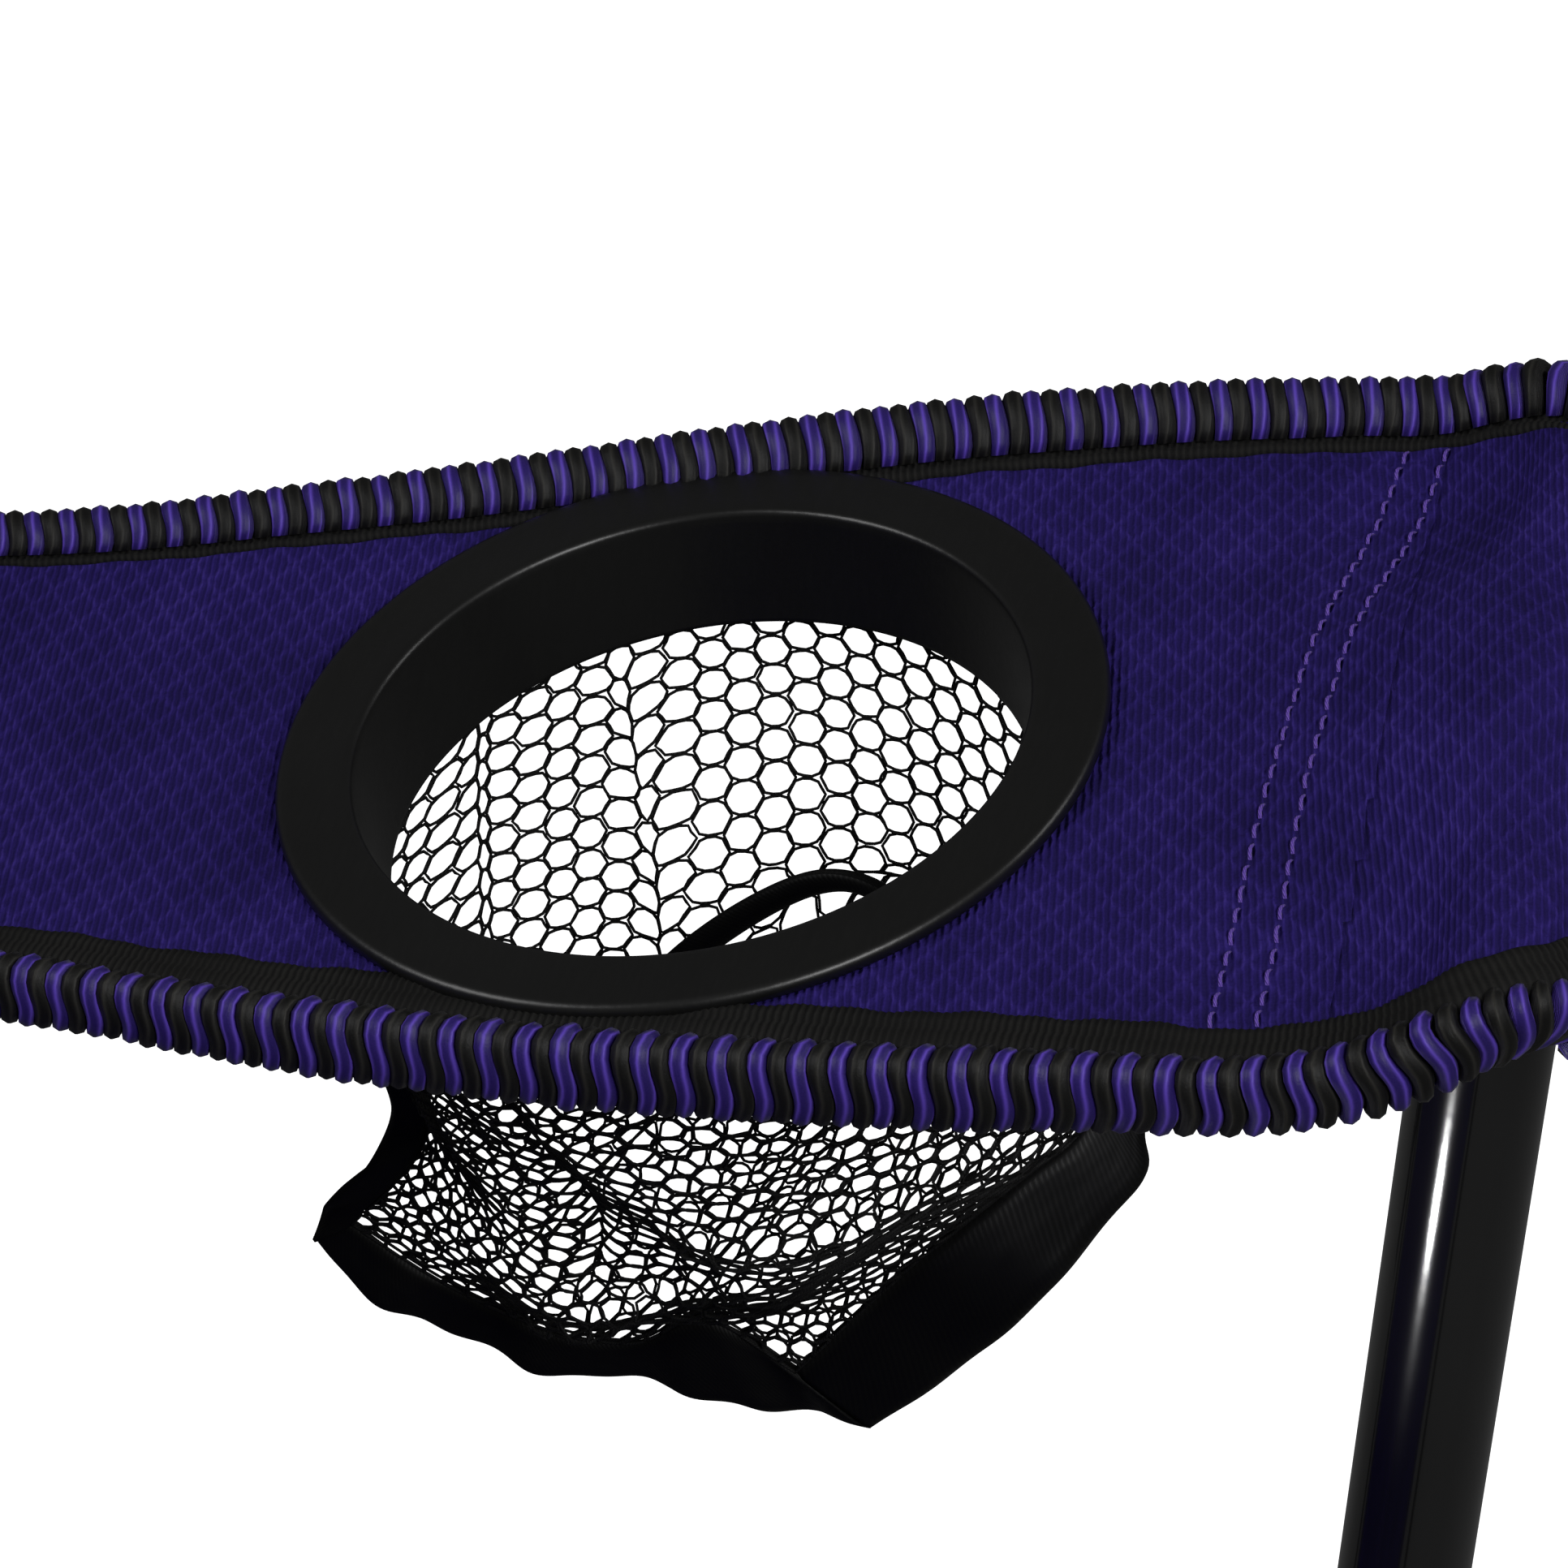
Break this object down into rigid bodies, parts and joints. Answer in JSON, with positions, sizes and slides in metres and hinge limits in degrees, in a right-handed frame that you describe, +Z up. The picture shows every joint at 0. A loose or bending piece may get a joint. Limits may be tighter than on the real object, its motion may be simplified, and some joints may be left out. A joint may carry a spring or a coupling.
{
  "type": "folding camp chair",
  "caption": "Folding quad camp chair with fabric seat, back and armrests, scissor tube frame, and a moulded cup ring with a hanging mesh pocket in the left armrest.",
  "frame": {"origin": "on the ground under the middle of the chair", "axes": "+Z up, the sitter looks along -Y, the sitter's left arm with the cup holder is on +X"},
  "size_m": [0.612, 0.54, 0.848],
  "materials": {
    "frame_paint": "gloss black powder coat on round steel tube",
    "rivet_steel": "zinc plated",
    "cup_plastic": "satin moulded black",
    "fitting_plastic": "moulded black nylon",
    "pocket_mesh": "open hexagonal polyester mesh with satin tape seams",
    "binding_tape": "ribbed black and violet edge binding",
    "arm_fabric": "deep violet woven polyester with a fine diamond weave",
    "seat_fabric": "deep violet woven polyester",
    "back_fabric": "deep violet woven polyester"
  },
  "bodies": {
    "back_left": {"back_left_post": "frame_paint", "back_left_post_cap": "fitting_plastic", "back_left_foot": "fitting_plastic", "left_back_left_foot_rivet": "rivet_steel", "back_back_left_foot_rivet": "rivet_steel", "left_arm_anchor": "binding_tape", "backrest": "back_fabric"},
    "front_left": {"front_left_post": "frame_paint", "front_left_post_cap": "fitting_plastic", "front_left_foot": "fitting_plastic", "left_front_left_foot_rivet": "rivet_steel", "front_front_left_foot_rivet": "rivet_steel"},
    "front_right": {"front_right_post": "frame_paint", "front_right_post_cap": "fitting_plastic", "front_right_foot": "fitting_plastic", "right_front_right_foot_rivet": "rivet_steel", "front_front_right_foot_rivet": "rivet_steel"},
    "back_right": {"back_right_post": "frame_paint", "back_right_post_cap": "fitting_plastic", "back_right_foot": "fitting_plastic", "right_back_right_foot_rivet": "rivet_steel", "back_back_right_foot_rivet": "rivet_steel", "right_arm_anchor": "binding_tape"},
    "front_left_sleeve": {"front_left_sleeve": "fitting_plastic", "left_front_left_sleeve_rivet": "rivet_steel", "front_front_left_sleeve_rivet": "rivet_steel"},
    "front_right_sleeve": {"front_right_sleeve": "fitting_plastic", "right_front_right_sleeve_rivet": "rivet_steel", "front_front_right_sleeve_rivet": "rivet_steel"},
    "back_left_sleeve": {"back_left_sleeve": "fitting_plastic", "left_back_left_sleeve_rivet": "rivet_steel", "back_back_left_sleeve_rivet": "rivet_steel"},
    "back_right_sleeve": {"back_right_sleeve": "fitting_plastic", "right_back_right_sleeve_rivet": "rivet_steel", "back_back_right_sleeve_rivet": "rivet_steel"},
    "left_outer": {"left_outer_cross_tube": "frame_paint", "left_crossing_rivet": "rivet_steel"},
    "left_inner": {"left_inner_cross_tube": "frame_paint"},
    "right_outer": {"right_outer_cross_tube": "frame_paint", "right_crossing_rivet": "rivet_steel"},
    "right_inner": {"right_inner_cross_tube": "frame_paint"},
    "front_outer": {"front_outer_cross_tube": "frame_paint", "front_crossing_rivet": "rivet_steel"},
    "front_inner": {"front_inner_cross_tube": "frame_paint"},
    "back_outer": {"back_outer_cross_tube": "frame_paint", "back_crossing_rivet": "rivet_steel"},
    "back_inner": {"back_inner_cross_tube": "frame_paint"},
    "left_arm_front": {"left_arm_front": "arm_fabric", "cup_ring": "cup_plastic", "cup_lock_ring": "cup_plastic", "cup_pocket": "pocket_mesh"},
    "left_arm_back": {"left_arm_back": "arm_fabric"},
    "right_arm_front": {"right_arm_front": "arm_fabric"},
    "right_arm_back": {"right_arm_back": "arm_fabric"},
    "seat_front": {"seat_front": "seat_fabric"},
    "seat_left": {"seat_left": "seat_fabric"},
    "seat_back": {"seat_back": "seat_fabric"},
    "seat_right": {"seat_right": "seat_fabric"}
  },
  "joints": [
    {"name": "fold", "type": "hinge", "parent": "back_left", "child": "left_outer", "pos_m": [0.25, 0.224, 0.03], "axis": [-1, 0, 0], "range_deg": [0, 49], "deforming": ["backrest"]},
    {"name": "left_inner_turn", "type": "hinge", "parent": "left_outer", "child": "left_inner", "pos_m": [0.25, 0, 0.21], "axis": [-1, 0, 0], "range_deg": [-98, 0]},
    {"name": "front_left_turn", "type": "hinge", "parent": "left_inner", "child": "front_left", "pos_m": [0.25, -0.224, 0.03], "axis": [-1, 0, 0], "range_deg": [0, 49]},
    {"name": "front_left_sleeve_turn", "type": "hinge", "parent": "left_outer", "child": "front_left_sleeve", "pos_m": [0.25, -0.224, 0.39], "axis": [-1, 0, 0], "range_deg": [-49, 0]},
    {"name": "back_left_sleeve_turn", "type": "hinge", "parent": "left_inner", "child": "back_left_sleeve", "pos_m": [0.25, 0.224, 0.39], "axis": [-1, 0, 0], "range_deg": [0, 49]},
    {"name": "back_inner_turn", "type": "hinge", "parent": "back_left", "child": "back_inner", "pos_m": [0.224, 0.25, 0.03], "axis": [0, 1, 0], "range_deg": [0, 49]},
    {"name": "back_outer_turn", "type": "hinge", "parent": "back_inner", "child": "back_outer", "pos_m": [0, 0.25, 0.21], "axis": [0, 1, 0], "range_deg": [-98, 0]},
    {"name": "back_right_turn", "type": "hinge", "parent": "back_outer", "child": "back_right", "pos_m": [-0.224, 0.25, 0.03], "axis": [0, 1, 0], "range_deg": [0, 49]},
    {"name": "back_right_sleeve_turn", "type": "hinge", "parent": "back_inner", "child": "back_right_sleeve", "pos_m": [-0.224, 0.25, 0.39], "axis": [0, 1, 0], "range_deg": [-49, 0]},
    {"name": "front_outer_turn", "type": "hinge", "parent": "front_left", "child": "front_outer", "pos_m": [0.224, -0.25, 0.03], "axis": [0, 1, 0], "range_deg": [0, 49]},
    {"name": "front_inner_turn", "type": "hinge", "parent": "front_outer", "child": "front_inner", "pos_m": [0, -0.25, 0.21], "axis": [0, 1, 0], "range_deg": [-98, 0]},
    {"name": "front_right_turn", "type": "hinge", "parent": "front_inner", "child": "front_right", "pos_m": [-0.224, -0.25, 0.03], "axis": [0, 1, 0], "range_deg": [0, 49]},
    {"name": "front_right_sleeve_turn", "type": "hinge", "parent": "front_outer", "child": "front_right_sleeve", "pos_m": [-0.224, -0.25, 0.39], "axis": [0, 1, 0], "range_deg": [-49, 0]},
    {"name": "right_outer_turn", "type": "hinge", "parent": "front_right", "child": "right_outer", "pos_m": [-0.25, -0.224, 0.03], "axis": [1, 0, 0], "range_deg": [0, 49]},
    {"name": "right_inner_turn", "type": "hinge", "parent": "right_outer", "child": "right_inner", "pos_m": [-0.25, 0, 0.21], "axis": [1, 0, 0], "range_deg": [-98, 0]},
    {"name": "left_arm_swing", "type": "hinge", "parent": "front_left", "child": "left_arm_front", "pos_m": [0.262, -0.25, 0.672], "axis": [-0.5774, -0.5774, 0.5774], "range_deg": [-240, 0], "deforming": ["left_arm_front", "cup_pocket"]},
    {"name": "left_arm_crease", "type": "hinge", "parent": "left_arm_front", "child": "left_arm_back", "pos_m": [0.244, 0, 0.6265], "axis": [0.9816, 0.1908, 0], "range_deg": [0, 165], "deforming": ["left_arm_back"]},
    {"name": "right_arm_swing", "type": "hinge", "parent": "front_right", "child": "right_arm_front", "pos_m": [-0.262, -0.25, 0.672], "axis": [-0.5774, 0.5774, -0.5774], "range_deg": [-240, 0], "deforming": ["right_arm_front"]},
    {"name": "right_arm_crease", "type": "hinge", "parent": "right_arm_front", "child": "right_arm_back", "pos_m": [-0.244, 0, 0.6265], "axis": [0.9816, -0.1908, 0], "range_deg": [0, 165], "deforming": ["right_arm_back"]},
    {"name": "seat_front_drop", "type": "hinge", "parent": "front_left_sleeve", "child": "seat_front", "pos_m": [0.231, -0.231, 0.41], "axis": [-1, 0, 0], "range_deg": [0, 85], "deforming": ["seat_front"]},
    {"name": "seat_left_drop", "type": "hinge", "parent": "back_left_sleeve", "child": "seat_left", "pos_m": [0.231, 0.231, 0.41], "axis": [0, -1, 0], "range_deg": [0, 85], "deforming": ["seat_left"]},
    {"name": "seat_back_drop", "type": "hinge", "parent": "back_left_sleeve", "child": "seat_back", "pos_m": [0.231, 0.231, 0.41], "axis": [1, 0, 0], "range_deg": [0, 85], "deforming": ["seat_back"]},
    {"name": "seat_right_drop", "type": "hinge", "parent": "back_right_sleeve", "child": "seat_right", "pos_m": [-0.231, 0.231, 0.41], "axis": [0, 1, 0], "range_deg": [0, 85], "deforming": ["seat_right"]}
  ],
  "couplings": [
    {"joint": "left_inner_turn", "follows": "fold", "ratio": -2},
    {"joint": "front_left_turn", "follows": "fold", "ratio": 1},
    {"joint": "front_left_sleeve_turn", "follows": "fold", "ratio": -1},
    {"joint": "back_left_sleeve_turn", "follows": "fold", "ratio": 1},
    {"joint": "back_inner_turn", "follows": "fold", "ratio": 1},
    {"joint": "back_outer_turn", "follows": "fold", "ratio": -2},
    {"joint": "back_right_turn", "follows": "fold", "ratio": 1},
    {"joint": "back_right_sleeve_turn", "follows": "fold", "ratio": -1},
    {"joint": "front_outer_turn", "follows": "fold", "ratio": 1},
    {"joint": "front_inner_turn", "follows": "fold", "ratio": -2},
    {"joint": "front_right_turn", "follows": "fold", "ratio": 1},
    {"joint": "front_right_sleeve_turn", "follows": "fold", "ratio": -1},
    {"joint": "right_outer_turn", "follows": "fold", "ratio": 1},
    {"joint": "right_inner_turn", "follows": "fold", "ratio": -2},
    {"joint": "left_arm_swing", "follows": "fold", "ratio": -4.898},
    {"joint": "left_arm_crease", "follows": "fold", "ratio": 3.3673},
    {"joint": "right_arm_swing", "follows": "fold", "ratio": -4.898},
    {"joint": "right_arm_crease", "follows": "fold", "ratio": 3.3673},
    {"joint": "seat_front_drop", "follows": "fold", "ratio": 1.7347},
    {"joint": "seat_left_drop", "follows": "fold", "ratio": 1.7347},
    {"joint": "seat_back_drop", "follows": "fold", "ratio": 1.7347},
    {"joint": "seat_right_drop", "follows": "fold", "ratio": 1.7347}
  ]
}
